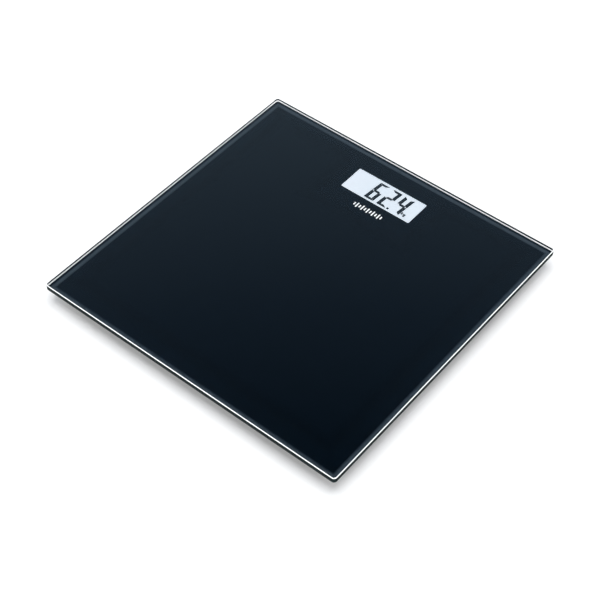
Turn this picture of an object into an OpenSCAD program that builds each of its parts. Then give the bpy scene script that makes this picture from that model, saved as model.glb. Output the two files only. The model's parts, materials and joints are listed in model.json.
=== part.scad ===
// Digital bathroom scale: a glass platform on four load-cell feet, with a sealed display unit
// under a window near the back edge. Millimetres. The origin is on the floor under the middle
// of the platform; X runs left to right, Y runs front to back, Z is up.

/* [Platform] */
// Width of the platform, left to right
platform_w = 300; // [290:1:330]
// Depth of the platform, front to back
platform_d = 295; // [285:1:330]
// Height of the top face above the floor
total_h = 20; // [20:0.5:23]
// Thickness of the glass
glass_t = 6; // [5:0.5:6]
// Radius of the platform's corners in plan
corner_r = 3; // [2:0.5:20]
// Width of the ground bevel on the glass edges
bevel = 0.8; // [0.5:0.1:1.5]
// Distance from the glass edge to the black field
border_w = 7; // [4:0.1:12]

/* [Display] */
// Width of the clear window
window_w = 72.2; // [60:0.1:74]
// Depth of the clear window, front to back
window_d = 27.4; // [26:0.1:29]
// Distance from the back edge to the middle of the window
window_inset = 36.8; // [35:0.1:42]
// Digits of the reading: tens, units, tenths
tens = 6; // [0:1:9]
// Units digit
units = 2; // [0:1:9]
// Tenths digit
tenths = 4; // [0:1:9]

/* [Feet] */
// Distance from the platform's edges to each foot's centre
foot_inset = 36; // [34:1:37]
// Radius of the rubber pad under each foot
pad_r = 20; // [15:0.5:20]

/* [Hidden] */
CORNERS = ["fl", "fr", "rl", "rr"];
function per_foot(stem) = [for (c = CORNERS) str(stem, "_", c)];
$fn = 48;
eps = 0.01;

// Layers from the glass down
glass_z = total_h - glass_t;
print_t = 0.15;
print_z = glass_z - print_t;
tape_t = 0.5;
tape_z = print_z - tape_t;
print_inset = bevel + 0.2;

// Display unit, measured from the middle of the window
unit_y = platform_d / 2 - window_inset;
box_x = 56;
box_front = -51;
box_back = 28;
box_r = 6;
wall = 1.6;
roof_t = 1;
roof_z = tape_z - roof_t;
gate_w = 5.5;
gate_top = 11.5;
floor_z = 4.5;
floor_t = 1.5;
floor_top = floor_z + floor_t;
split_z = 8.6;

// Display stack
lcd_x = 39;
lcd_y = 17;
lcd_gap = 0.2;
rear_y = 14.8;
zebra_x = 34;
zebra_y = 15.9;
zebra_w = 1.8;
polarizer_t = 0.2;
lcd_glass_t = 0.7;
segment_t = 0.1;
polarizer_z = print_z - polarizer_t;
front_glass_z = polarizer_z - lcd_glass_t;
segment_z = front_glass_z - segment_t;
rear_glass_z = segment_z - lcd_glass_t;
reflector_z = rear_glass_z - polarizer_t;

// Figures on the display
digit_h = 22.3;
digit_w = 9.7;
digit_pitch = 13.4;
digit_mid = [5.7, 0.4];
upright_w = 3;
level_w = 2.1;
bar_gap = 0.25;
slant = 5.6;
point_w = 1.8;
unit_sign_at = [23.9, -8.3];
unit_sign_h = 2.8;
unit_stroke = 0.55;

// Small screws
small_head_r = 2.1;
small_screw_r = 1;
small_clear_r = 1.1;
small_recess = 1.1;
pcb_screw_r = 0.9;

// Circuit board
pcb_t = 1.6;
pcb_z = 8.2;
pcb_top = pcb_z + pcb_t;
pcb_x = 45.5;
pcb_y = 20;
tongue_x = [-6, 44];
tongue_front = -45;
chip_at = [4, -4];
crystal_at = [18, 2];
capacitor_row = [-18, 10];
resistor_row = [16, -9];
chip_pitch = 5;
pcb_holes = [for (x = [-42, 42], y = [-14.5, 14.5]) [x, y]];
cover_holes = [for (x = [-50.5, 50.5], y = [-42, 21.5]) [x, y]];
boss_r = 2.5;
cover_boss_r = 3;
pilot_gap = 0.3;

// Battery and its door
cell_r = 10;
cell_t = 3.2;
cell_step = 0.35;
cell_z = 6.6;
cell_at = [-28, -35.5];
ring_r = cell_r + 0.4;
ring_t = 1.5;
ring_z = 7.2;
door_w = 26;
door_l = 24.5;
door_gap = 0.25;
hinge_y = cell_at[1] + 12.3;
hinge_r = 1.2;
hinge_z = floor_z + hinge_r;
door_front = hinge_y - door_l - door_gap;
door_back = hinge_y + hinge_r + 0.3;
hinge_pin_r = 0.7;
hinge_bore_r = hinge_pin_r + 0.05;
ear_t = 2;
ear_l = 4;
pin_reach = door_gap + 1.6;
plinth_r = 7;

// Unit button
button_at = [28, -35.5];
button_r = 5;
button_gap = 0.3;
button_low = floor_z - 0.4;
flange_r = 6.4;
flange_t = 0.6;
plunger_r = 1.5;
plunger_top = 7.6;
switch_w = 6;
switch_z = 7.1;

// Feet
foot_x = platform_w / 2 - foot_inset;
foot_y = platform_d / 2 - foot_inset;
shell_r = 26;
shell_wall = 2;
shell_low = 3;
shell_roof = tape_z - 2;
load_cell_z = 7;
load_cell_t = 1.6;
load_cell_w = 33;
post_at = 13.5;
cap_r = 23;
cap_low = 1.2;
cap_top = 6;
cap_plate_z = 2.2;
cap_plate_t = 1.5;
cap_wall = 1.4;
pad_gap = 0.15;
screw_r = 1.45;
foot_head_r = 2.7;
foot_screw_top = 9.4;
gauge_at = 9;
gauge_l = 6;
gauge_w = 8;
gauge_h = 2.4;

// Wires and the channels that carry them
wire_r = 0.5;
wire_z = 10.4;
wire_pitch = 1.5;
bend_r = 3;
channel_w = 9;
channel_wall = 1;
channel_z = 8.6;
channel_gap = 0.2;
leg_y = unit_y - 34;
inner_x = 49.5;
pad_x = 43.2;
rear_pad_y = foot_y;
front_pad_y = rear_pad_y - 7.3;

// ---- shared shapes ----

// A rectangle centred on the origin with rounded corners.
module rounded_rect(w, d, r) {
    square([w - 2 * r, d], center = true);
    square([w, d - 2 * r], center = true);
    for (x = [-1, 1], y = [-1, 1])
        translate([x * (w / 2 - r), y * (d / 2 - r)])
            circle(r);
}

// A flat slab of a 2D outline between two heights.
module slab(z0, z1) {
    translate([0, 0, z0])
        linear_extrude(z1 - z0)
            children();
}

// A round bar between two heights.
module bar(r, z0, z1) {
    translate([0, 0, z0])
        cylinder(r = r, h = z1 - z0);
}

// Places its children in the display unit's own frame.
module at_unit() {
    translate([0, unit_y, 0])
        children();
}

// The display unit's outline, drawn in by a margin.
module unit_outline(margin) {
    translate([0, (box_front + box_back) / 2])
        rounded_rect(2 * (box_x - margin), box_back - box_front - 2 * margin, box_r - margin);
}

// Places its children at a foot; the foot's own +X points along its wires.
module at_foot(i) {
    sx = i % 2 == 0 ? -1 : 1;
    sy = i < 2 ? -1 : 1;
    turn = i < 2 ? 90 : (i == 2 ? 0 : 180);
    translate([sx * foot_x, sy * foot_y, 0])
        rotate([0, 0, turn])
            children();
}

// A pan-head screw standing on its head, tip up.
module screw(head_r, head_h, shank_r, shank_l) {
    cylinder(r = head_r, h = head_h);
    bar(shank_r, head_h - eps, head_h + shank_l);
}

// ---- glass platform ----

// Half profile of the bevelled edge: [distance from the edge's line, height].
function edge_profile(reach) = [
    [0, 0], [reach - bevel, 0], [reach, bevel], [reach, glass_t - bevel],
    [reach - bevel, glass_t], [0, glass_t]
];

module bevelled_bar(reach, length) {
    for (side = [0, 1])
        mirror([side, 0, 0])
            rotate([90, 0, 0])
                translate([0, 0, -length / 2])
                    linear_extrude(length)
                        polygon(edge_profile(reach));
}

module glass_plate() {
    color("darkslategray", 0.5)
        translate([0, 0, glass_z]) {
            bevelled_bar(platform_w / 2, platform_d - 2 * corner_r);
            rotate([0, 0, 90])
                bevelled_bar(platform_d / 2, platform_w - 2 * corner_r);
            for (x = [-1, 1], y = [-1, 1])
                translate([x * (platform_w / 2 - corner_r), y * (platform_d / 2 - corner_r), 0])
                    rotate_extrude()
                        polygon(edge_profile(corner_r));
        }
}

module field_outline(inset) {
    rounded_rect(platform_w - 2 * inset, platform_d - 2 * inset, max(corner_r - inset, 0.5));
}

module border_print() {
    color("slategray")
        slab(print_z, glass_z)
            difference() {
                field_outline(print_inset);
                field_outline(border_w);
            }
}

// A plain row of graduation ticks, long and short in turn.
mark_at = [0.5, -23.6];
tick_w = 1.3;
tick_pitch = 2.8;
tick_h = [5.8, 3.4];
module mark_outline() {
    for (k = [-5:5])
        translate([k * tick_pitch, 0])
            square([tick_w, tick_h[abs(k) % 2]], center = true);
}

module backing_print() {
    color("black")
        slab(print_z, glass_z)
            difference() {
                field_outline(border_w);
                translate([0, unit_y])
                    square([window_w, window_d], center = true);
                translate([mark_at[0], unit_y + mark_at[1]])
                    mark_outline();
            }
}

module print_mark() {
    color("white")
        slab(print_z, glass_z)
            translate([mark_at[0], unit_y + mark_at[1]])
                mark_outline();
}

// ---- display unit: housing ----

module frame_tape() {
    color("gainsboro")
        at_unit()
            slab(tape_z, print_z)
                difference() {
                    unit_outline(1);
                    square(2 * [lcd_x + 0.5, lcd_y + 0.5], center = true);
                }
}

// Openings in the frame's sides where the wires come in.
module wire_gates() {
    for (side = [-1, 1], y = [leg_y, rear_pad_y])
        translate([side * box_x, y, (split_z + gate_top) / 2])
            cube([4 * wall, gate_w, gate_top - split_z + eps], center = true);
}

module display_frame() {
    color("dimgray")
        difference() {
            at_unit()
                difference() {
                    union() {
                        slab(split_z, tape_z)
                            difference() {
                                unit_outline(0);
                                unit_outline(wall);
                            }
                        slab(roof_z, tape_z)
                            difference() {
                                unit_outline(wall / 2);
                                square(2 * [lcd_x + lcd_gap, lcd_y + lcd_gap], center = true);
                            }
                        for (p = pcb_holes)
                            translate(p)
                                bar(boss_r, pcb_top, roof_z + eps);
                        for (p = cover_holes)
                            translate(p)
                                bar(cover_boss_r, floor_top, roof_z + eps);
                        translate(cell_at)
                            bar(ring_r + ring_t, ring_z, roof_z + eps);
                    }
                    for (p = pcb_holes)
                        translate(p)
                            bar(pcb_screw_r, pcb_top - eps, roof_z - pilot_gap);
                    for (p = cover_holes)
                        translate(p)
                            bar(small_screw_r, floor_top - eps, roof_z - pilot_gap);
                    translate(cell_at)
                        bar(ring_r, ring_z - eps, roof_z);
                }
            wire_gates();
        }
}

module cover_floor() {
    slab(floor_z, floor_top)
        difference() {
            unit_outline(0);
            translate([cell_at[0], (door_back + door_front) / 2])
                square([door_w + 2 * door_gap, door_back - door_front], center = true);
            translate(button_at)
                circle(button_r + button_gap);
        }
}

module hinge_ears() {
    for (side = [-1, 1])
        translate([cell_at[0] + side * (door_w / 2 + door_gap + ear_t / 2), hinge_y, 0])
            translate([-ear_t / 2, -ear_l / 2, floor_z])
                cube([ear_t, ear_l, ring_z - floor_z]);
}

module housing_cover() {
    color("darkslategray")
        at_unit()
            difference() {
                union() {
                    cover_floor();
                    slab(floor_top - eps, split_z)
                        difference() {
                            unit_outline(0);
                            unit_outline(wall);
                        }
                    hinge_ears();
                }
                for (p = cover_holes)
                    translate(p) {
                        bar(small_screw_r + 0.2, floor_z - eps, floor_top + eps);
                        bar(small_head_r + 0.2, floor_z - eps, floor_z + 0.8);
                    }
                translate([cell_at[0] - door_w, hinge_y, hinge_z])
                    rotate([0, 90, 0])
                        cylinder(r = hinge_bore_r, h = 2 * door_w);
            }
}

module cover_screws() {
    color("silver")
        at_unit()
            for (p = cover_holes)
                translate([p[0], p[1], floor_z + 0.1])
                    difference() {
                        screw(small_head_r, 0.7, small_screw_r, 5);
                        cross_recess(small_recess, 0.4);
                    }
}

// A cross recess cut into a screw head that faces down.
module cross_recess(reach, depth) {
    for (turn = [0, 90])
        rotate([0, 0, turn])
            translate([-reach, -0.2, -eps])
                cube([2 * reach, 0.4, depth + eps]);
}

module battery_door() {
    color("darkslategray")
        at_unit()
            translate([cell_at[0], hinge_y, 0]) {
                difference() {
                    translate([-door_w / 2, -door_l, floor_z])
                        cube([door_w, door_l, floor_t]);
                    // Finger notch in the free edge
                    translate([0, -door_l - 1, floor_z - eps])
                        cylinder(r = 4, h = 0.8);
                    // Grip grooves
                    for (k = [0:2])
                        translate([-6, -door_l + 5 + 1.6 * k, floor_z - eps])
                            cube([12, 0.8, 0.4]);
                }
                translate([0, cell_at[1] - hinge_y, 0])
                    bar(plinth_r, floor_top - eps, cell_z);
                translate([-door_w / 2, 0, hinge_z])
                    rotate([0, 90, 0])
                        cylinder(r = hinge_r, h = door_w);
                translate([-door_w / 2 - pin_reach, 0, hinge_z])
                    rotate([0, 90, 0])
                        cylinder(r = hinge_pin_r, h = door_w + 2 * pin_reach);
            }
}

// ---- display unit: battery ----

module coin_cell() {
    color("silver")
        at_unit()
            translate(cell_at) {
                bar(cell_r, cell_z, cell_z + cell_t - cell_step);
                bar(cell_r - 1, cell_z, cell_z + cell_t);
            }
}

// A spring-metal band that grips a quarter of the cell's rim.
module battery_clip_positive() {
    color("gold")
        at_unit()
            translate([cell_at[0], cell_at[1], ring_z])
                rotate([0, 0, -45])
                    rotate_extrude(angle = 90)
                        translate([cell_r + 0.04, 0])
                            square([0.3, roof_z - ring_z]);
}

// A bent leaf that hangs from the roof and presses on the cell's upper face.
module battery_spring_negative() {
    leaf_t = 0.3;
    cell_top = cell_z + cell_t;
    color("gold")
        at_unit()
            translate([cell_at[0], cell_at[1] + 2, 0])
                rotate([90, 0, 0])
                    linear_extrude(4)
                        polygon([
                            [-7, roof_z], [-7, roof_z - leaf_t], [-3.2, roof_z - leaf_t],
                            [3, cell_top], [6, cell_top + 0.7], [6, cell_top + 0.7 + leaf_t],
                            [3, cell_top + leaf_t], [-3, roof_z]
                        ]);
}

// ---- display unit: electronics ----

module plate(x, y, z0, z1) {
    at_unit()
        slab(z0, z1)
            square([2 * x, 2 * y], center = true);
}

module lcd_front_polarizer() {
    color("lightsteelblue", 0.4)
        plate(lcd_x - 0.5, lcd_y - 0.5, polarizer_z, print_z);
}

module lcd_front_glass() {
    color("lightcyan", 0.4)
        plate(lcd_x, lcd_y, front_glass_z, polarizer_z);
}

module lcd_rear_glass() {
    color("lightcyan", 0.4)
        plate(lcd_x, rear_y, rear_glass_z, segment_z);
}

module lcd_reflector() {
    color("aliceblue")
        plate(lcd_x - 0.5, rear_y - 0.2, reflector_z, rear_glass_z);
}

// Leans a point of a figure to the right.
function lean(p) = [p[0] + tan(slant) * p[1], p[1]];

// The bars of a figure's upper right quarter; the others are mirror images of these.
figure_x = digit_w / 2;
figure_y = digit_h / 2;
inner_bar_x = figure_x - upright_w;
TOP_BAR = [
    [bar_gap - figure_x, figure_y], [figure_x - bar_gap, figure_y],
    [inner_bar_x - bar_gap, figure_y - level_w], [bar_gap - inner_bar_x, figure_y - level_w]
];
UPRIGHT_BAR = [
    [figure_x, figure_y - bar_gap], [figure_x, bar_gap],
    [inner_bar_x, level_w / 2 + bar_gap], [inner_bar_x, figure_y - level_w - bar_gap]
];
MIDDLE_BAR = [
    [figure_x - 2 * bar_gap - 1, 0], [inner_bar_x - bar_gap, level_w / 2],
    [bar_gap - inner_bar_x, level_w / 2], [2 * bar_gap + 1 - figure_x, 0],
    [bar_gap - inner_bar_x, -level_w / 2], [inner_bar_x - bar_gap, -level_w / 2]
];

// Bars a to g as [outline, X sign, Y sign].
BARS = [
    [TOP_BAR, 1, 1], [UPRIGHT_BAR, 1, 1], [UPRIGHT_BAR, 1, -1], [TOP_BAR, 1, -1],
    [UPRIGHT_BAR, -1, -1], [UPRIGHT_BAR, -1, 1], [MIDDLE_BAR, 1, 1]
];

// Which bars each figure from 0 to 9 shows.
FIGURES = [
    [0, 1, 2, 3, 4, 5], [1, 2], [0, 1, 3, 4, 6], [0, 1, 2, 3, 6], [1, 2, 5, 6],
    [0, 2, 3, 5, 6], [0, 2, 3, 4, 5, 6], [0, 1, 2], [0, 1, 2, 3, 4, 5, 6], [0, 1, 2, 3, 5, 6]
];

module figure_outline(value) {
    for (k = FIGURES[value])
        let (b = BARS[k])
            polygon([for (p = b[0]) lean([b[1] * p[0], b[2] * p[1]])]);
}

// The small unit sign, kilograms, built from straight strokes.
module unit_sign() {
    bowl_x = 2.3;
    bowl_w = 1.9;
    bowl_h = 1.9;
    tail = 1.2;
    square([unit_stroke, unit_sign_h]);
    polygon([[unit_stroke, 0.8], [1.3, 1.9], [1.9, 1.9], [1.05, 0.95], [1.95, 0], [1.3, 0]]);
    translate([bowl_x, 0])
        difference() {
            square([bowl_w, bowl_h]);
            translate([unit_stroke, unit_stroke])
                square([bowl_w - 2 * unit_stroke, bowl_h - 2 * unit_stroke]);
        }
    translate([bowl_x + bowl_w - unit_stroke, -tail])
        square([unit_stroke, tail + eps]);
    translate([bowl_x, -tail])
        square([bowl_w, unit_stroke]);
}

module lcd_segments() {
    reading = [tens, units, tenths];
    color("black")
        at_unit()
            slab(segment_z, front_glass_z) {
                for (k = [0:2])
                    translate([digit_mid[0] + (k - 1) * digit_pitch, digit_mid[1]])
                        figure_outline(reading[k]);
                translate([digit_mid[0] + 5.6, digit_mid[1] - (digit_h - point_w) / 2])
                    square(point_w, center = true);
                translate(unit_sign_at)
                    unit_sign();
            }
}

module zebra_strips() {
    color("pink")
        at_unit()
            for (side = [-1, 1])
                translate([-zebra_x, side * zebra_y - zebra_w / 2, pcb_top])
                    cube([2 * zebra_x, zebra_w, front_glass_z - pcb_top]);
}

module pcb() {
    color("seagreen")
        at_unit()
            slab(pcb_z, pcb_top)
                difference() {
                    union() {
                        square([2 * pcb_x, 2 * pcb_y], center = true);
                        translate([tongue_x[0], tongue_front])
                            square([tongue_x[1] - tongue_x[0], pcb_y * 2]);
                    }
                    for (p = pcb_holes)
                        translate(p)
                            circle(small_clear_r);
                }
}

module pcb_screws() {
    head_h = 1.2;
    color("silver")
        at_unit()
            for (p = pcb_holes)
                translate([p[0], p[1], pcb_z - head_h])
                    difference() {
                        screw(small_head_r, head_h, pcb_screw_r, 3.6);
                        cross_recess(small_recess, head_h / 2);
                    }
}

// The chip under its potting, on the board's lower face.
module chip_blob() {
    color("black")
        at_unit()
            translate([chip_at[0], chip_at[1], pcb_z - 1.4])
                rotate_extrude()
                    polygon([[0, 0], [4.5, 0.1], [6.6, 0.7], [7, 1.4], [0, 1.4]]);
}

module crystal() {
    crystal_h = 1.6;
    color("silver")
        at_unit()
            translate([crystal_at[0], crystal_at[1], pcb_z - crystal_h])
                linear_extrude(crystal_h)
                    rounded_rect(7, 3, 1.4);
}

// A row of small board parts on the board's lower face.
module chip_parts(places, size) {
    at_unit()
        for (p = places)
            translate([p[0] - size[0] / 2, p[1] - size[1] / 2, pcb_z - size[2]])
                cube(size);
}

module smd_capacitors() {
    color("tan")
        chip_parts([for (k = [0:4]) capacitor_row + [chip_pitch * k, 0]], [2, 1.25, 0.9]);
}

module smd_resistors() {
    color("dimgray")
        chip_parts(
            [for (k = [0:3], j = [0, 1]) resistor_row + [chip_pitch * k, -4 * j]], [2, 1.25, 0.5]);
}

// Solder at the ends of the wires, on the board's upper face.
module solder_joints() {
    size = [1.6, 1.2, wire_z + wire_r - pcb_top];
    color("lightgray")
        for (side = [-1, 1], y = [front_pad_y, rear_pad_y], k = [-1:1])
            translate([side * (pad_x - size[0] / 2) - size[0] / 2, y + k * wire_pitch - size[1] / 2,
                    pcb_top])
                cube(size);
}

module switch_body() {
    color("black")
        at_unit()
            translate(button_at)
                slab(switch_z, pcb_z)
                    difference() {
                        square(switch_w, center = true);
                        circle(plunger_r + 0.1);
                    }
}

module switch_plunger() {
    color("ivory")
        at_unit()
            translate(button_at)
                bar(plunger_r, floor_top + flange_t, plunger_top);
}

module unit_button() {
    color("silver")
        at_unit()
            translate(button_at)
                difference() {
                    union() {
                        bar(button_r, button_low, floor_top + eps);
                        bar(flange_r, floor_top, floor_top + flange_t);
                    }
                    // Dished finger face
                    translate([0, 0, button_low - eps])
                        cylinder(r1 = button_r - 1, r2 = button_r - 1.6, h = 0.35);
                }
}

// ---- feet ----

module posts() {
    for (x = [-1, 1], y = [-1, 1])
        translate([x * post_at, y * post_at, 0])
            children();
}

module foot_tapes() {
    color("gainsboro")
        for (i = [0:3])
            at_foot(i)
                bar(shell_r - 1, tape_z, print_z);
}

module foot_shell() {
    color("darkslategray")
        difference() {
            union() {
                difference() {
                    bar(shell_r, shell_low, tape_z);
                    bar(shell_r - shell_wall, shell_low - eps, shell_roof);
                }
                posts()
                    bar(boss_r, load_cell_z + load_cell_t, shell_roof + eps);
            }
            posts()
                bar(small_screw_r, load_cell_z, shell_roof - pilot_gap);
            // Slot for the wires
            translate([shell_r - 2 * shell_wall, -gate_w / 2, wire_z - 1])
                cube([3 * shell_wall, gate_w, shell_roof - wire_z + 1 + eps]);
        }
}

// A steel bending plate: the outer frame is fixed and the tongue carries the foot.
module load_cell() {
    slot_out = 22;
    tongue_w = 18;
    color("lightslategray")
        slab(load_cell_z, load_cell_z + load_cell_t)
            difference() {
                rounded_rect(load_cell_w, load_cell_w, 4);
                difference() {
                    square(slot_out, center = true);
                    square(tongue_w, center = true);
                    translate([tongue_w / 3, -tongue_w / 2])
                        square([slot_out, tongue_w]);
                }
                posts()
                    circle(small_clear_r);
                circle(screw_r + 0.05);
            }
}

module strain_gauges() {
    color("white")
        for (i = [0:3])
            at_foot(i)
                translate([gauge_at, 0])
                    slab(load_cell_z + load_cell_t, load_cell_z + load_cell_t + gauge_h)
                        rounded_rect(gauge_l, gauge_w, 1);
}

module cell_screws() {
    head_h = 1.2;
    color("silver")
        for (i = [0:3])
            at_foot(i)
                posts()
                    translate([0, 0, load_cell_z - head_h])
                        difference() {
                            screw(small_head_r, head_h, small_screw_r, 3.8);
                            cross_recess(small_recess, head_h / 2);
                        }
}

module foot_cap() {
    plate_top = cap_plate_z + cap_plate_t;
    rib_top = 5;
    rib_t = 1.2;
    hub_r = 5;
    rib_from = hub_r - 1;
    color("slategray")
        difference() {
            union() {
                difference() {
                    bar(cap_r, cap_low, cap_top);
                    bar(cap_r - cap_wall, plate_top, cap_top + eps);
                }
                bar(hub_r, plate_top - eps, load_cell_z);
                for (k = [0:5])
                    rotate([0, 0, 60 * k])
                        translate([rib_from, -rib_t / 2, plate_top - eps])
                            cube([cap_r - cap_wall - rib_from + 0.3, rib_t, rib_top - plate_top]);
            }
            bar(pad_r + pad_gap, cap_low - eps, cap_plate_z);
            bar(foot_head_r + 0.2, cap_plate_z - eps, plate_top);
            bar(screw_r + 0.05, cap_plate_z, load_cell_z + eps);
        }
}

module foot_screw() {
    head_h = 1.3;
    head_z = cap_plate_z + cap_plate_t - head_h;
    color("silver")
        translate([0, 0, head_z])
            difference() {
                screw(foot_head_r, head_h, screw_r, foot_screw_top - head_z - head_h);
                cross_recess(1.4, 0.8);
            }
}

module foot_pad() {
    ring_w = 1.2;
    groove = 0.5;
    color("gray")
        difference() {
            bar(pad_r, 0, cap_plate_z);
            // Grip grooves in the face that meets the floor
            for (k = [1:3])
                translate([0, 0, -eps])
                    difference() {
                        cylinder(r = pad_r * k / 4 + ring_w / 2, h = groove);
                        translate([0, 0, -eps])
                            cylinder(r = pad_r * k / 4 - ring_w / 2, h = groove + 2 * eps);
                    }
        }
}

// ---- wires ----

// A round wire along straight legs that turn by right angles at the inner points.
module wire(points) {
    last = len(points) - 1;
    for (i = [0:last - 1])
        let (a = points[i], b = points[i + 1], d = (b - a) / norm(b - a),
             skip_a = i == 0 ? 0 : bend_r, skip_b = i == last - 1 ? 0 : bend_r)
            translate([a[0] + d[0] * skip_a, a[1] + d[1] * skip_a, wire_z])
                rotate([0, 0, atan2(d[1], d[0])])
                    rotate([0, 90, 0])
                        cylinder(r = wire_r, h = norm(b - a) - skip_a - skip_b);
    if (last > 1)
        for (i = [1:last - 1])
            let (p = points[i], into = (p - points[i - 1]) / norm(p - points[i - 1]),
                 out = (points[i + 1] - p) / norm(points[i + 1] - p),
                 centre = p + bend_r * (out - into),
                 left = into[0] * out[1] - into[1] * out[0] > 0,
                 start = left ? atan2(-out[1], -out[0]) : atan2(into[1], into[0]))
                translate([centre[0], centre[1], wire_z])
                    rotate([0, 0, start])
                        rotate_extrude(angle = 90)
                            translate([bend_r, 0])
                                circle(wire_r);
}

// The right-hand feet's wire routes; the left-hand ones mirror them.
gauge_out = gauge_at + gauge_l / 2;
function front_route(o) = [
    [foot_x + o, -foot_y + gauge_out], [foot_x + o, leg_y + o], [inner_x + o, leg_y + o],
    [inner_x + o, front_pad_y + o], [pad_x, front_pad_y + o]
];
function rear_route(o) = [[foot_x - gauge_out, foot_y + o], [pad_x, foot_y + o]];

module wires(i) {
    color("firebrick")
        mirror([i % 2 == 0 ? 1 : 0, 0, 0])
            for (k = [-1:1])
                wire(i < 2 ? front_route(k * wire_pitch) : rear_route(k * wire_pitch));
}

// A channel's outline from its centre line: an L for a front foot, a bar for a rear one.
module channel_outline(margin, over) {
    w = channel_w / 2 - margin;
    near = box_x + channel_gap - over;
    far = shell_r + channel_gap - over;
    translate([near, -w])
        translate([0, leg_y])
            square([foot_x + w - near, 2 * w]);
    translate([foot_x - w, -foot_y + far])
        square([2 * w, leg_y + w + foot_y - far]);
    translate([near, foot_y - w])
        square([foot_x - far - near, 2 * w]);
}

module wire_ducts() {
    color("dimgray")
        for (side = [0, 1])
            mirror([side, 0, 0]) {
                slab(channel_z, channel_z + channel_wall)
                    channel_outline(0, 0);
                slab(channel_z + channel_wall - eps, print_z)
                    difference() {
                        channel_outline(0, 0);
                        channel_outline(channel_wall, 1);
                    }
            }
}

// ---- what is drawn ----

glass_plate();
border_print();
backing_print();
print_mark();
frame_tape();
display_frame();
lcd_front_polarizer();
lcd_front_glass();
lcd_segments();
lcd_rear_glass();
lcd_reflector();
zebra_strips();
pcb();
pcb_screws();
chip_blob();
crystal();
smd_capacitors();
smd_resistors();
solder_joints();
switch_body();
switch_plunger();
unit_button();
housing_cover();
cover_screws();
battery_door();
coin_cell();
battery_clip_positive();
battery_spring_negative();
foot_tapes();
strain_gauges();
cell_screws();
wire_ducts();
for (i = [0:3]) {
    at_foot(i) foot_shell();
    at_foot(i) load_cell();
    at_foot(i) foot_cap();
    at_foot(i) foot_screw();
    at_foot(i) foot_pad();
    wires(i);
}
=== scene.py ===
import json
import math

import bmesh
import bpy
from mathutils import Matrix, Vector


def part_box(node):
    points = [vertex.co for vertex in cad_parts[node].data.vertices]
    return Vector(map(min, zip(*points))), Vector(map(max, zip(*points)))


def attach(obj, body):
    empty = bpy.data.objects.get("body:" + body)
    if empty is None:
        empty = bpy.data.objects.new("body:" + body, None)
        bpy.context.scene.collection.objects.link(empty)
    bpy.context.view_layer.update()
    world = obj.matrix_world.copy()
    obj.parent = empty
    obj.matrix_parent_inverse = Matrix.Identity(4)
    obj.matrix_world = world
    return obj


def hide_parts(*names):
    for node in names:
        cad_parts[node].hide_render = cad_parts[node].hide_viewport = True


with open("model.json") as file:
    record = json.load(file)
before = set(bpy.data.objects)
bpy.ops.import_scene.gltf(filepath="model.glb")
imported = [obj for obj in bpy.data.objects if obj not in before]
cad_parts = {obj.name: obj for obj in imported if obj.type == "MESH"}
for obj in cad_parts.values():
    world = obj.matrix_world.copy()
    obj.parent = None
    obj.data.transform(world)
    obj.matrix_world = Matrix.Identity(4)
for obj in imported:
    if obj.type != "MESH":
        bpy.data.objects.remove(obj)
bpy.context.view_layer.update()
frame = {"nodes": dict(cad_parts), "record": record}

MM = 0.001

# The camera looks down on the platform's near right corner.
CAMERA_AZIMUTH = 39.228
CAMERA_ELEVATION = 49.104
CAMERA_DISTANCE = 1.1554
CAMERA_TARGET = (0.02128, -0.02959, 0.0200)
CAMERA_LENS = 86.24

GLASS_IOR = 1.52

# The far side of the platform, seen from the camera.
FAR_SIDE = Vector((-0.632, 0.775, 0.0))

# The sky's dark patch: its middle's elevation, and its colours from the rim to the middle.
PATCH_ELEVATION = 75.0
PATCH_RAMP = [
    (0.15, (1.0, 1.0, 1.0)), (0.46, (0.31, 0.45, 0.59)),
    (0.67, (0.11, 0.18, 0.27)), (0.84, (0.01, 0.03, 0.06)),
]

# The black print and the slate line in it: distance in from the glass's side in mm, and the share
# of slate there. The line lies off the glass's middle by the offset, towards the near corner.
BLACK = (0.0010, 0.0033, 0.0066)
SLATE = (0.058, 0.078, 0.100)
BORDER_OFFSET_MM = 0.8
BORDER_RAMP_MM = 8.0
BORDER_LINE = [(2.2, 0.0), (2.9, 0.8), (3.8, 1.0), (5.0, 0.9), (7.0, 0.0)]

# The slab's section, and the corners of the prints under it.
BEVEL = 0.8 * MM
CORNER = 3.0 * MM
SOFT_ARRIS = 0.15 * MM
RIM_CORNER = 2.0 * MM
FIELD_CORNER = 0.5 * MM
WINDOW_CORNER = 1.0 * MM

# The window in the field: the middle's distance from the back edge, and the half sizes.
WINDOW_INSET = 36.8 * MM
WINDOW_HALF_X = 36.1 * MM
WINDOW_HALF_Y = 13.7 * MM

# The platform's face is clear up to the first distance from a print's edge, and black past the second.
CLEAR_TO_BLACK_AT_SIDE = (11 * MM, 32 * MM)
CLEAR_TO_BLACK_AT_OPENING = (4 * MM, 26 * MM)

# The row of graduation ticks.
TICKS = 11
TICK_WIDTH = 1.3 * MM
TICK_CORNER = 0.4 * MM
SHORT_TICK_HALF = 1.7 * MM

# How far each print reaches into the piece above it, so that no two faces coincide.
FUSED = 0.03 * MM
MARK_FUSED = 0.04 * MM
INK_SWELL = 0.15 * MM
WELD = 0.001 * MM

# Rounding of each moulded or stamped piece's edges, in mm.
SOFT_EDGES_MM = {
    "display_frame": 0.35, "housing_cover": 0.35, "wire_ducts": 0.3, "battery_door": 0.2,
    "unit_button": 0.25, "foot_shell": 0.4, "foot_cap": 0.3, "foot_pad": 0.25,
    "load_cell": 0.15, "foot_screw": 0.15, "cell_screws": 0.12, "cover_screws": 0.12,
    "pcb_screws": 0.12, "strain_gauges": 0.3, "coin_cell": 0.2,
}

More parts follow.
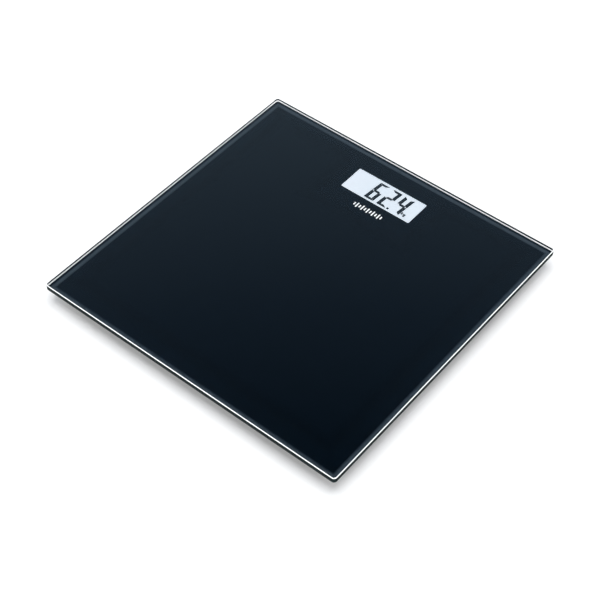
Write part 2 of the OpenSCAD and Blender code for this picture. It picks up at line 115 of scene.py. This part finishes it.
# The floor's painted glow, which lifts the shadow: its strength from under the scale to far from it,
# and the distances of those.
FLOOR_HALF = 4.0
FLOOR_PAINTED_GLOW = (0.1, 0.5)
FLOOR_PAINTED_GLOW_REACH = (0.5, 3.0)

# The overhead soft box.
KEY_HEIGHT = 1.8
KEY_DIAMETER = 1.7
KEY_POWER = 35

NODES = frame["nodes"]


# ---- camera ----

def add_camera():
    azimuth = math.radians(CAMERA_AZIMUTH)
    elevation = math.radians(CAMERA_ELEVATION)
    forward = Vector((
        -math.sin(azimuth) * math.cos(elevation),
        math.cos(azimuth) * math.cos(elevation),
        -math.sin(elevation),
    ))
    data = bpy.data.cameras.new("camera")
    data.lens = CAMERA_LENS
    data.sensor_width = 36.0
    data.clip_start = 0.01
    camera = bpy.data.objects.new("camera", data)
    camera.location = Vector(CAMERA_TARGET) - forward * CAMERA_DISTANCE
    camera.rotation_euler = forward.to_track_quat("-Z", "Y").to_euler()
    bpy.context.scene.collection.objects.link(camera)
    bpy.context.scene.camera = camera


# ---- materials ----

class Surface:
    """A Principled material whose colour, roughness and bump come from noise in object space."""

    def __init__(self, name):
        self.material = bpy.data.materials.new(name)
        self.material.use_nodes = True
        self.tree = self.material.node_tree
        self.nodes = self.tree.nodes
        self.shader = self.nodes["Principled BSDF"]
        self.output = self.nodes["Material Output"]
        self.place = self.nodes.new("ShaderNodeTexCoord").outputs["Object"]

    def link(self, source, target):
        self.tree.links.new(source, target)

    def set(self, **values):
        for socket, value in values.items():
            self.shader.inputs[socket.replace("_", " ")].default_value = value
        return self

    def noise(self, scale, detail=3.0, rough=0.5, stretch=(1, 1, 1)):
        place = self.place
        if stretch != (1, 1, 1):
            mapping = self.nodes.new("ShaderNodeMapping")
            mapping.inputs["Scale"].default_value = stretch
            self.link(place, mapping.inputs["Vector"])
            place = mapping.outputs["Vector"]
        node = self.nodes.new("ShaderNodeTexNoise")
        node.inputs["Scale"].default_value = scale
        node.inputs["Detail"].default_value = detail
        node.inputs["Roughness"].default_value = rough
        self.link(place, node.inputs["Vector"])
        return node.outputs["Fac"]

    def ramp(self, source, stops):
        node = self.nodes.new("ShaderNodeValToRGB")
        ramp = node.color_ramp
        while len(ramp.elements) < len(stops):
            ramp.elements.new(0.5)
        for element, (at, colour) in zip(ramp.elements, stops):
            element.position = at
            element.color = (*colour, 1.0)
        self.link(source, node.inputs["Fac"])
        return node.outputs["Color"]

    def maths(self, operation, *terms):
        node = self.nodes.new("ShaderNodeMath")
        node.operation = operation
        for socket, term in zip(node.inputs, terms):
            if isinstance(term, float):
                socket.default_value = term
            else:
                self.link(term, socket)
        return node.outputs["Value"]

    def box_distance(self, x, y, centre, half):
        """Distance outside a rectangle in plan; negative inside it."""
        across = self.maths("ABSOLUTE", self.maths("SUBTRACT", x, float(centre[0])))
        along = self.maths("ABSOLUTE", self.maths("SUBTRACT", y, float(centre[1])))
        return self.maths(
            "MAXIMUM",
            self.maths("SUBTRACT", across, float(half[0])),
            self.maths("SUBTRACT", along, float(half[1])))

    def fade(self, source, start, end):
        """A smooth step from 0 to 1."""
        node = self.nodes.new("ShaderNodeMapRange")
        node.interpolation_type = "SMOOTHSTEP"
        node.inputs["From Min"].default_value = start
        node.inputs["From Max"].default_value = end
        self.link(source, node.inputs["Value"])
        return node.outputs["Result"]

    def colour(self, dark, light, scale, detail=3.0, stretch=(1, 1, 1)):
        source = self.noise(scale, detail, stretch=stretch)
        self.link(self.ramp(source, [(0.3, dark), (0.7, light)]), self.shader.inputs["Base Color"])
        return self

    def roughness(self, low, high, scale, stretch=(1, 1, 1)):
        node = self.nodes.new("ShaderNodeMapRange")
        node.inputs["From Min"].default_value = 0.3
        node.inputs["From Max"].default_value = 0.7
        node.inputs["To Min"].default_value = low
        node.inputs["To Max"].default_value = high
        self.link(self.noise(scale, stretch=stretch), node.inputs["Value"])
        self.link(node.outputs["Result"], self.shader.inputs["Roughness"])
        return self

    def bump(self, strength, distance, scale, detail=2.0, stretch=(1, 1, 1)):
        node = self.nodes.new("ShaderNodeBump")
        node.inputs["Strength"].default_value = strength
        node.inputs["Distance"].default_value = distance
        self.link(self.noise(scale, detail, stretch=stretch), node.inputs["Height"])
        self.link(node.outputs["Normal"], self.shader.inputs["Normal"])
        return self


def grey(value):
    return (value, value, value)


def clear_glass(name, dark=(0.97, 0.99, 0.985), light=(1.0, 1.0, 1.0)):
    """Soda-lime glass, tinted at its surface.

    It has no volume. A ray has to leave a volume by the material it came in by, and the slab has
    several materials.
    """
    s = Surface(name)
    s.set(Transmission_Weight=1.0, IOR=GLASS_IOR, Roughness=0.0)
    s.colour(dark, light, 25)
    return s


def edge_glass_painted_shade():
    """The wall round the slab: green glass with a near-black diffuse mixed in, which is painted shade
    that darkens the wall.
    """
    s = clear_glass("edge_glass_painted_shade", (0.55, 0.80, 0.75), (0.62, 0.86, 0.81))
    # Painted shade: the wall's shader is 0.85 near-black diffuse, which darkens it beyond what the
    # glass itself does.
    dark = s.nodes.new("ShaderNodeBsdfDiffuse")
    s.link(s.ramp(s.noise(90), [(0.3, (0.004, 0.010, 0.010)), (0.7, (0.007, 0.015, 0.015))]),
           dark.inputs["Color"])
    mix = s.nodes.new("ShaderNodeMixShader")
    mix.inputs["Fac"].default_value = 0.85
    s.link(s.shader.outputs["BSDF"], mix.inputs[1])
    s.link(dark.outputs["BSDF"], mix.inputs[2])
    s.link(mix.outputs["Shader"], s.output.inputs["Surface"])
    return s.material


def platform_face(glass, opening):
    """The top face: clear over the edges of the prints, and black where only the field lies below."""
    s = clear_glass("platform_face")
    black = s.nodes.new("ShaderNodeBsdfPrincipled")
    black.inputs["IOR"].default_value = GLASS_IOR
    black.inputs["Roughness"].default_value = 0.0
    s.link(s.ramp(s.noise(60), [(0.3, (0.0003, 0.0011, 0.0022)), (0.7, (0.0004, 0.0013, 0.0026))]),
           black.inputs["Base Color"])
    parts = s.nodes.new("ShaderNodeSeparateXYZ")
    s.link(s.place, parts.inputs["Vector"])
    x, y = parts.outputs["X"], parts.outputs["Y"]
    from_side = s.box_distance(x, y, (0.0, 0.0), (glass.x, glass.y))
    from_opening = s.box_distance(x, y, opening["centre"], opening["half"])
    off_border = s.fade(s.maths("MULTIPLY", from_side, -1.0), *CLEAR_TO_BLACK_AT_SIDE)
    off_opening = s.fade(from_opening, *CLEAR_TO_BLACK_AT_OPENING)
    mix = s.nodes.new("ShaderNodeMixShader")
    s.link(s.maths("MULTIPLY", off_border, off_opening), mix.inputs["Fac"])
    s.link(s.shader.outputs["BSDF"], mix.inputs[1])
    s.link(black.outputs["BSDF"], mix.inputs[2])
    s.link(mix.outputs["Shader"], s.output.inputs["Surface"])
    return s.material


def ground_glass():
    s = Surface("ground_glass")
    s.set(Transmission_Weight=0.05, IOR=GLASS_IOR)
    s.colour((0.86, 0.89, 0.89), (0.98, 0.99, 0.99), 900)
    s.roughness(0.35, 0.5, 700)
    s.bump(0.15, 0.00002, 4000)
    return s.material


def matt_print(name, dark, light, painted_glow=0.0):
    """Ink or fired enamel under glass, with no shine of its own. Any emission strength given is
    painted light: the ink glows though it is no lamp.
    """
    s = Surface(name)
    s.set(Specular_IOR_Level=0.0, Emission_Color=(*light, 1.0), Emission_Strength=painted_glow)
    s.colour(dark, light, 60)
    s.roughness(0.55, 0.75, 300)
    s.bump(0.05, 0.00002, 1500)
    return s.material


def border_enamel(glass):
    """A slate line in the black print, with a soft inner edge, at a fixed distance from the sides."""
    s = Surface("border_enamel")
    s.set(Specular_IOR_Level=0.0)
    parts = s.nodes.new("ShaderNodeSeparateXYZ")
    s.link(s.place, parts.inputs["Vector"])
    middle = (BORDER_OFFSET_MM * MM, -BORDER_OFFSET_MM * MM)
    outside = s.box_distance(parts.outputs["X"], parts.outputs["Y"], middle, (glass.x, glass.y))
    share = s.maths("DIVIDE", outside, -BORDER_RAMP_MM * MM)
    stops = [(at / BORDER_RAMP_MM, tuple(b + (c - b) * weight for b, c in zip(BLACK, SLATE)))
             for at, weight in BORDER_LINE]
    s.link(s.ramp(share, stops), s.shader.inputs["Base Color"])
    s.roughness(0.55, 0.75, 300)
    s.bump(0.05, 0.00002, 1500)
    return s.material


def moulded_plastic(name, dark, light, rough=(0.42, 0.55), grain=1800, depth=0.00003):
    s = Surface(name)
    s.colour(dark, light, 120)
    s.roughness(rough[0], rough[1], 400)
    s.bump(0.35, depth, grain)
    return s.material


def plated_steel(name, dark, light, rough=(0.22, 0.38), stretch=(1, 1, 1)):
    s = Surface(name)
    s.set(Metallic=1.0)
    s.colour(dark, light, 260, stretch=stretch)
    s.roughness(rough[0], rough[1], 500, stretch=stretch)
    s.bump(0.1, 0.00001, 2500, stretch=stretch)
    return s.material


def soft_rubber(name, dark, light):
    s = Surface(name)
    s.colour(dark, light, 200)
    s.roughness(0.7, 0.88, 300)
    s.bump(0.4, 0.00004, 2200)
    return s.material


def clear_film(name, tint, alpha):
    s = Surface(name)
    s.set(Alpha=alpha)
    s.colour(tint, tuple(1.5 * c for c in tint), 80)
    s.roughness(0.05, 0.09, 200)
    return s.material


def reflector_painted_glow():
    s = Surface("reflector")
    # Painted light: the reflector glows in its own colour at strength 1.12, though it is no lamp.
    s.set(Emission_Strength=1.12)
    colour = s.ramp(s.noise(30), [(0.3, (0.80, 0.88, 0.98)), (0.7, (0.84, 0.91, 1.0))])
    s.link(colour, s.shader.inputs["Base Color"])
    s.link(colour, s.shader.inputs["Emission Color"])
    s.roughness(0.5, 0.6, 200)
    s.bump(0.05, 0.00001, 3000)
    return s.material


def board_green():
    s = Surface("board_green")
    s.colour((0.010, 0.085, 0.040), (0.016, 0.12, 0.055), 220)
    s.roughness(0.25, 0.38, 300)
    s.bump(0.2, 0.00002, 900, stretch=(1, 4, 1))
    return s.material


def make_materials():
    return {
        "polarizer": clear_film("polarizer_film", (0.010, 0.014, 0.016), 0.02),
        "lcd_glass": clear_film("lcd_glass_pane", (0.010, 0.016, 0.016), 0.02),
        "lcd_ink": matt_print("lcd_ink", grey(0.003), grey(0.005)),
        "reflector": reflector_painted_glow(),
        "tape": moulded_plastic("foam_tape", grey(0.60), grey(0.72), (0.8, 0.9), 700, 0.0001),
        "housing_plastic": moulded_plastic("housing_plastic", grey(0.020), grey(0.028)),
        "shell_plastic": moulded_plastic("shell_plastic", grey(0.020), grey(0.030)),
        "door_plastic": moulded_plastic("door_plastic", grey(0.026), grey(0.034)),
        "duct_plastic": moulded_plastic("duct_plastic", grey(0.018), grey(0.026), (0.5, 0.62)),
        "cap_plastic": moulded_plastic("cap_plastic", grey(0.055), grey(0.07)),
        "button_grey": moulded_plastic("button_plastic", (0.20, 0.21, 0.22), (0.24, 0.25, 0.26)),
        "switch_black": moulded_plastic("switch_black", grey(0.02), grey(0.03)),
        "switch_ivory": moulded_plastic("switch_ivory", (0.62, 0.58, 0.46), (0.70, 0.66, 0.54)),
        "potting": moulded_plastic("potting", grey(0.006), grey(0.010), (0.15, 0.3), 300),
        "ceramic_tan": moulded_plastic("ceramic_tan", (0.30, 0.19, 0.09), (0.38, 0.25, 0.13)),
        "ceramic_black": moulded_plastic("ceramic_black", grey(0.012), grey(0.02)),
        "pcb": board_green(),
        "zinc_steel": plated_steel("zinc_steel", (0.50, 0.51, 0.53), (0.62, 0.63, 0.65)),
        "cell_plate_steel": plated_steel(
            "stamped_steel", (0.36, 0.37, 0.38), (0.46, 0.47, 0.48), (0.3, 0.45), (1, 8, 1)),
        "cell_steel": plated_steel("nickel_cell", (0.58, 0.58, 0.57), (0.68, 0.68, 0.67)),
        "contact_metal": plated_steel("contact_metal", (0.60, 0.56, 0.46), (0.70, 0.66, 0.56)),
        "tinned_metal": plated_steel("tinned_metal", (0.56, 0.56, 0.55), (0.68, 0.68, 0.67)),
        "zebra_rubber": soft_rubber("zebra_rubber", (0.56, 0.58, 0.60), (0.68, 0.70, 0.72)),
        "gauge_silicone": soft_rubber("gauge_silicone", (0.66, 0.66, 0.63), (0.76, 0.76, 0.73)),
        "pad_rubber": soft_rubber("pad_rubber", grey(0.030), grey(0.042)),
        "wire_red": soft_rubber("wire_red", (0.30, 0.012, 0.010), (0.38, 0.02, 0.016)),
    }


def dress_nodes(materials):
    """Gives every CAD node that stays the material of its slot."""
    slots = {s["node"]: s["material_slot"] for s in frame["record"]["subparts"]}
    for name, node in NODES.items():
        made = materials.get(slots[name])
        if made is None:
            continue
        node.data.materials.clear()
        node.data.materials.append(made)


def add_weld(node):
    """Joins the mesh's split vertices, so that the next modifier sees whole edges."""
    weld = node.modifiers.new("weld", "WELD")
    weld.merge_threshold = WELD


def soften_edges():
    """Rounds the edges of the moulded and stamped pieces, as their tools leave them."""
    for name, node in NODES.items():
        stem = name if name in SOFT_EDGES_MM else name.rsplit("_", 1)[0]
        if stem not in SOFT_EDGES_MM:
            continue
        add_weld(node)
        bevel = node.modifiers.new("soft_edges", "BEVEL")
        bevel.width = SOFT_EDGES_MM[stem] * MM
        bevel.segments = 2
        bevel.limit_method = "ANGLE"
        bevel.angle_limit = math.radians(40)
        bevel.use_clamp_overlap = True


def swell_segments():
    """Sinks the display's ink into the panes it lies between, so that no two faces coincide."""
    ink = NODES["lcd_segments"]
    add_weld(ink)
    swell = ink.modifiers.new("swell", "DISPLACE")
    swell.mid_level = 0.0
    swell.strength = INK_SWELL


# ---- meshes ----

def add_mesh(name, bm, materials):
    bmesh.ops.recalc_face_normals(bm, faces=bm.faces)
    data = bpy.data.meshes.new(name)
    bm.to_mesh(data)
    bm.free()
    for material in materials:
        data.materials.append(material)
    piece = bpy.data.objects.new(name, data)
    bpy.context.scene.collection.objects.link(piece)
    return piece


def rounded_loop(half_x, half_y, radius, steps=10):
    """Points round a rectangle with rounded corners, anticlockwise, about the origin."""
    points = []
    for k, (sx, sy) in enumerate(((1, 1), (-1, 1), (-1, -1), (1, -1))):
        for i in range(steps + 1):
            turn = math.radians(90 * (k + i / steps))
            points.append((
                sx * (half_x - radius) + radius * math.cos(turn),
                sy * (half_y - radius) + radius * math.sin(turn),
            ))
    return points


def bridge(bm, low, high, slot=0):
    """Joins two rings of vertices with a band of quads."""
    count = len(low)
    for i in range(count):
        j = (i + 1) % count
        bm.faces.new((low[i], low[j], high[j], high[i])).material_index = slot


def glass_plate(clear, ground, wall, face):
    """A slab with a ground top bevel and a polished bottom bevel, with soft arrises between the faces.
    """
    low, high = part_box("glass_plate")
    cut = SOFT_ARRIS * math.sqrt(0.5)
    # Rings from the side to the face: (inset from the side, height)
    top = [
        (0.0, high.z - BEVEL - SOFT_ARRIS), (cut, high.z - BEVEL + cut),
        (BEVEL - cut, high.z - cut), (BEVEL + SOFT_ARRIS, high.z),
    ]
    bottom = [(inset, low.z + high.z - z) for inset, z in reversed(top)]
    # Material slots, from the slab's underside up to its face.
    bands = [0, 0, 0, 2, 2, 1, 0]
    rings = []
    bm = bmesh.new()
    for inset, z in bottom + top:
        loop = rounded_loop(high.x - inset, high.y - inset, max(CORNER - inset, FIELD_CORNER))
        rings.append([bm.verts.new((x, y, z)) for x, y in loop])
    bm.faces.new(list(reversed(rings[0])))
    for k, slot in enumerate(bands):
        bridge(bm, rings[k], rings[k + 1], slot)
    bm.faces.new(rings[-1]).material_index = 3
    piece = add_mesh("glass", bm, [clear, ground, wall, face])
    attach(piece, "platform")
    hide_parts("glass_plate")


def display_window():
    """The window's middle and half sizes."""
    _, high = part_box("glass_plate")
    return {"y": high.y - WINDOW_INSET, "half_x": WINDOW_HALF_X, "half_y": WINDOW_HALF_Y}


def display_opening():
    """The rectangle that holds the window and the mark below it."""
    window = display_window()
    mark_low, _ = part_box("print_mark")
    top = window["y"] + window["half_y"]
    return {
        "centre": (0.0, (top + mark_low.y) / 2),
        "half": (window["half_x"], (top - mark_low.y) / 2),
    }


def plate_with_hole(name, outer, inner, low_z, high_z, material):
    """A flat ring between two loops that have the same number of points."""
    bm = bmesh.new()
    rings = []
    for loop, z in ((inner, high_z), (outer, high_z), (outer, low_z), (inner, low_z)):
        rings.append([bm.verts.new((x, y, z)) for x, y in loop])
    for k in range(4):
        bridge(bm, rings[k], rings[(k + 1) % 4])
    return add_mesh(name, bm, [material])


def keep_as(piece, node):
    """The piece takes the node's place on the platform, and the node is hidden."""
    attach(piece, "platform")
    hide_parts(node)


def prints(slate, black):
    """The black field with its window, and the border round it."""
    low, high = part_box("backing_print")
    _, rim_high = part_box("border_print")
    opening = display_window()
    steps = 3
    rim = rounded_loop(rim_high.x, rim_high.y, RIM_CORNER, steps)
    field = rounded_loop(high.x, high.y, FIELD_CORNER, steps)
    window = [(x, y + opening["y"]) for x, y in rounded_loop(
        opening["half_x"], opening["half_y"], WINDOW_CORNER, steps)]
    top = high.z + FUSED
    keep_as(plate_with_hole("backing", field, window, low.z, top, black), "backing_print")
    keep_as(plate_with_hole("border", rim, field, low.z, top, slate), "border_print")


def mark(white):
    """A row of ticks, every other one short."""
    low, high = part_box("print_mark")
    print_low, print_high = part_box("backing_print")
    pitch = (high.x - low.x - TICK_WIDTH) / (TICKS - 1)
    mid_y = (low.y + high.y) / 2
    long_tick_half = (high.y - low.y) / 2
    bm = bmesh.new()
    for k in range(TICKS):
        x = low.x + TICK_WIDTH / 2 + k * pitch
        half = SHORT_TICK_HALF if k % 2 == 0 else long_tick_half
        outline = rounded_loop(TICK_WIDTH / 2, half, TICK_CORNER, 4)
        rings = [[bm.verts.new((x + px, mid_y + py, z)) for px, py in outline]
                 for z in (print_low.z, print_high.z + MARK_FUSED)]
        bm.faces.new(list(reversed(rings[0])))
        bm.faces.new(rings[1])
        bridge(bm, rings[0], rings[1])
    piece = add_mesh("mark", bm, [white])
    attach(piece, "platform")
    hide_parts("print_mark")


# ---- studio ----

def add_floor():
    """A pale floor whose own glow is painted light, weak round the scale and stronger far from it, so
    that the shadow stays soft.
    """
    bm = bmesh.new()
    bmesh.ops.create_grid(bm, x_segments=2, y_segments=2, size=FLOOR_HALF)
    s = Surface("floor_white")
    s.colour(grey(0.74), grey(0.75), 3)
    s.roughness(0.85, 0.9, 5)
    s.set(Specular_IOR_Level=0.1, Emission_Color=(1.0, 0.985, 0.97, 1.0))
    # Painted light: the floor's emission rises with distance from the middle, lifting the shadow near
    # the scale and brightening the floor far out.
    distance = s.nodes.new("ShaderNodeVectorMath")
    distance.operation = "LENGTH"
    s.link(s.place, distance.inputs[0])
    painted_glow = s.nodes.new("ShaderNodeMapRange")
    painted_glow.inputs["From Min"].default_value = FLOOR_PAINTED_GLOW_REACH[0]
    painted_glow.inputs["From Max"].default_value = FLOOR_PAINTED_GLOW_REACH[1]
    painted_glow.inputs["To Min"].default_value = FLOOR_PAINTED_GLOW[0]
    painted_glow.inputs["To Max"].default_value = FLOOR_PAINTED_GLOW[1]
    s.link(distance.outputs["Value"], painted_glow.inputs["Value"])
    s.link(painted_glow.outputs["Result"], s.shader.inputs["Emission Strength"])
    add_mesh("floor", bm, [s.material])


def add_world():
    """Even white light all round, with a dark patch high on the far side of the platform."""
    world = bpy.data.worlds.new("studio")
    bpy.context.scene.world = world
    world.use_nodes = True
    tree = world.node_tree
    background = tree.nodes["Background"]
    place = tree.nodes.new("ShaderNodeTexCoord")
    near_patch = tree.nodes.new("ShaderNodeVectorMath")
    near_patch.operation = "DOT_PRODUCT"
    elevation = math.radians(PATCH_ELEVATION)
    near_patch.inputs[1].default_value = (
        FAR_SIDE * math.cos(elevation) + Vector((0, 0, math.sin(elevation)))).normalized()
    tree.links.new(place.outputs["Generated"], near_patch.inputs[0])
    shift = tree.nodes.new("ShaderNodeMapRange")
    shift.inputs["From Min"].default_value = 0.7
    shift.inputs["From Max"].default_value = 1.0
    tree.links.new(near_patch.outputs["Value"], shift.inputs["Value"])
    ramp = tree.nodes.new("ShaderNodeValToRGB")
    elements = ramp.color_ramp.elements
    while len(elements) < len(PATCH_RAMP):
        elements.new(0.5)
    for element, (at, colour) in zip(elements, PATCH_RAMP):
        element.position = at
        element.color = (*colour, 1.0)
    tree.links.new(shift.outputs["Result"], ramp.inputs["Fac"])
    tree.links.new(ramp.outputs["Color"], background.inputs["Color"])
    background.inputs["Strength"].default_value = 1.0


def add_key_light():
    """One wide soft box straight overhead."""
    data = bpy.data.lights.new("key", "AREA")
    data.shape = "DISK"
    data.size = KEY_DIAMETER
    data.energy = KEY_POWER
    lamp = bpy.data.objects.new("key", data)
    lamp.location = (0, 0, KEY_HEIGHT)
    bpy.context.scene.collection.objects.link(lamp)


# ---- build ----

add_camera()
dress_nodes(make_materials())
soften_edges()
swell_segments()
_, glass_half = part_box("glass_plate")
glass_plate(
    clear_glass("clear_glass").material, ground_glass(), edge_glass_painted_shade(),
    platform_face(glass_half, display_opening()),
)
prints(
    border_enamel(glass_half),
    matt_print("black_print", tuple(0.9 * c for c in BLACK), tuple(1.1 * c for c in BLACK)),
)
# Painted light: the white ticks glow at strength 0.5, though they are no lamp.
mark(matt_print("white_print", (0.80, 0.82, 0.83), (0.88, 0.89, 0.90), 0.5))
add_floor()
add_world()
add_key_light()
bpy.context.scene.view_settings.view_transform = "Standard"
